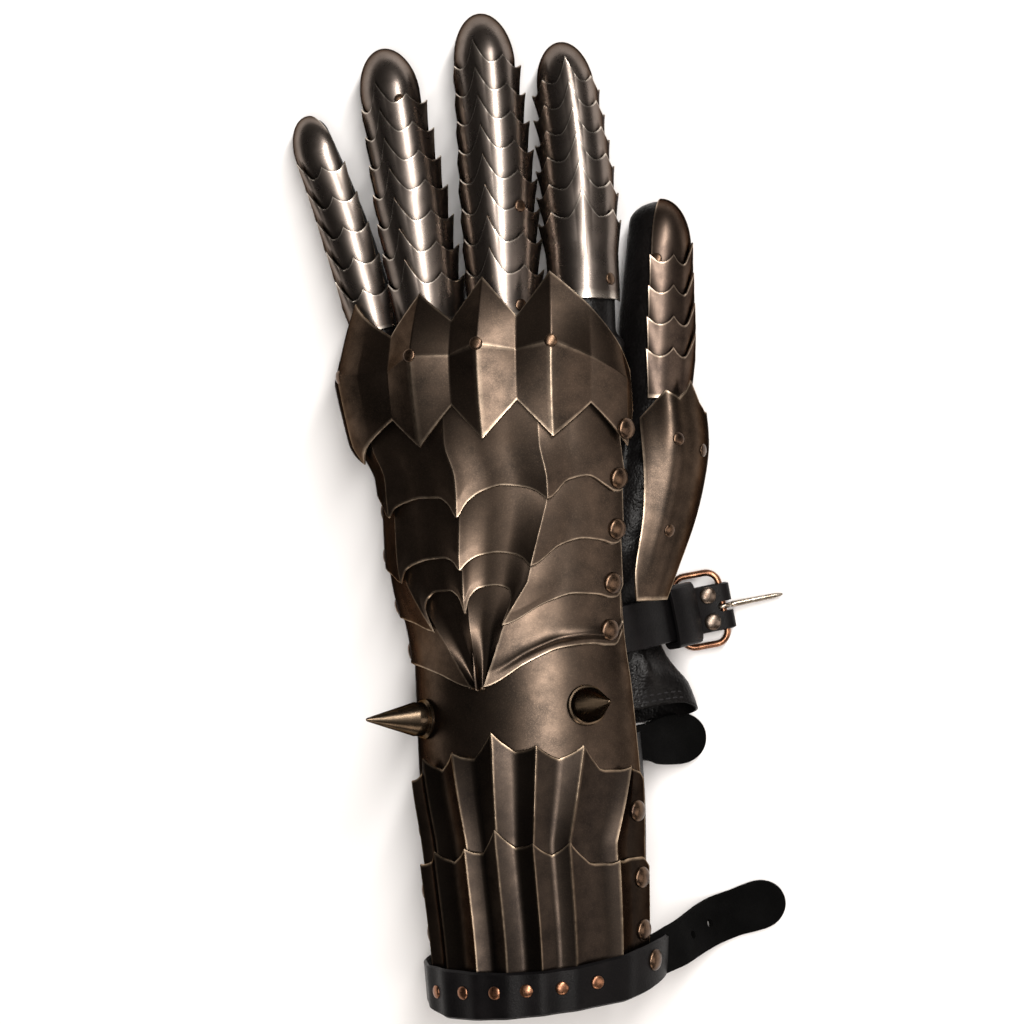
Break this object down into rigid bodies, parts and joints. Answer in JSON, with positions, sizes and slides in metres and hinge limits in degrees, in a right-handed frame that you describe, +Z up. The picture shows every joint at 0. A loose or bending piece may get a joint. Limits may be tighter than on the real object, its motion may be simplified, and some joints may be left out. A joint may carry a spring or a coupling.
{
  "type": "armoured gauntlet",
  "caption": "Plated hand and forearm guard for the left hand: overlapping steel lames on the fingers, spiked and fluted forearm plates, leather glove, sleeve and buckled straps.",
  "frame": {"origin": "middle of the whole piece's footprint, on the surface that it lies on", "axes": "X toward the thumb, Y along the arm toward the fingertips, Z up from the palm through the back of the hand"},
  "size_m": [0.1918, 0.3796, 0.0815],
  "materials": {
    "plate_steel": "antiqued dark steel, burnished bright along its edges and ridges",
    "lame_steel": "antiqued steel, rubbed brighter, with burnished edges",
    "glove_leather": "soft black grained leather",
    "strap_leather": "smooth black strap leather with a low sheen",
    "suede": "black suede back of a strap",
    "copper": "antique copper plating",
    "nickel": "worn nickel plating"
  },
  "bodies": {
    "armour": {"tip_plate_pinky": "lame_steel", "tip_plate_ring": "lame_steel", "tip_plate_middle": "lame_steel", "tip_plate_index": "lame_steel", "tip_plate_thumb": "lame_steel", "lame_pinky_1": "lame_steel", "lame_pinky_2": "lame_steel", "lame_pinky_3": "lame_steel", "lame_pinky_4": "lame_steel", "lame_pinky_5": "lame_steel", "lame_ring_1": "lame_steel", "lame_ring_2": "lame_steel", "lame_ring_3": "lame_steel", "lame_ring_4": "lame_steel", "lame_ring_5": "lame_steel", "lame_ring_6": "lame_steel", "lame_ring_7": "lame_steel", "lame_middle_1": "lame_steel", "lame_middle_2": "lame_steel", "lame_middle_3": "lame_steel", "lame_middle_4": "lame_steel", "lame_middle_5": "lame_steel", "lame_middle_6": "lame_steel", "lame_middle_7": "lame_steel", "lame_middle_8": "lame_steel", "lame_index_1": "lame_steel", "lame_index_2": "lame_steel", "lame_index_3": "lame_steel", "lame_index_4": "lame_steel", "lame_index_5": "lame_steel", "lame_index_6": "lame_steel", "lame_thumb_1": "lame_steel", "lame_thumb_2": "lame_steel", "lame_thumb_3": "lame_steel", "lame_thumb_4": "lame_steel", "knuckle_plate": "plate_steel", "hand_lame_1": "plate_steel", "hand_lame_2": "plate_steel", "hand_lame_3": "plate_steel", "hand_lame_4": "plate_steel", "thumb_plate": "plate_steel", "vambrace": "plate_steel", "spike_side": "plate_steel", "spike_top": "plate_steel", "fluted_plate_upper": "plate_steel", "fluted_plate_lower": "plate_steel", "glove_hand": "glove_leather", "glove_thumb": "glove_leather", "glove_index": "glove_leather", "glove_middle": "glove_leather", "glove_ring": "glove_leather", "glove_pinky": "glove_leather", "leather_sleeve": "strap_leather", "wrist_strap": "strap_leather", "strap_keeper": "strap_leather", "cuff_strap": "strap_leather", "cuff_band": "strap_leather", "strap_tongue": "suede"},
    "frame": {"buckle_frame": "copper"},
    "prong": {"buckle_prong": "nickel"}
  },
  "joints": [
    {"name": "frame_hinge", "type": "hinge", "parent": "armour", "child": "frame", "pos_m": [0.0709, -0.0387, 0.0047], "axis": [-0.1908, 0.9816, 0], "range_deg": [-150, 0]},
    {"name": "prong_hinge", "type": "hinge", "parent": "armour", "child": "prong", "pos_m": [0.0709, -0.0387, 0.0047], "axis": [-0.1908, 0.9816, 0], "range_deg": [-70, 0]}
  ]
}
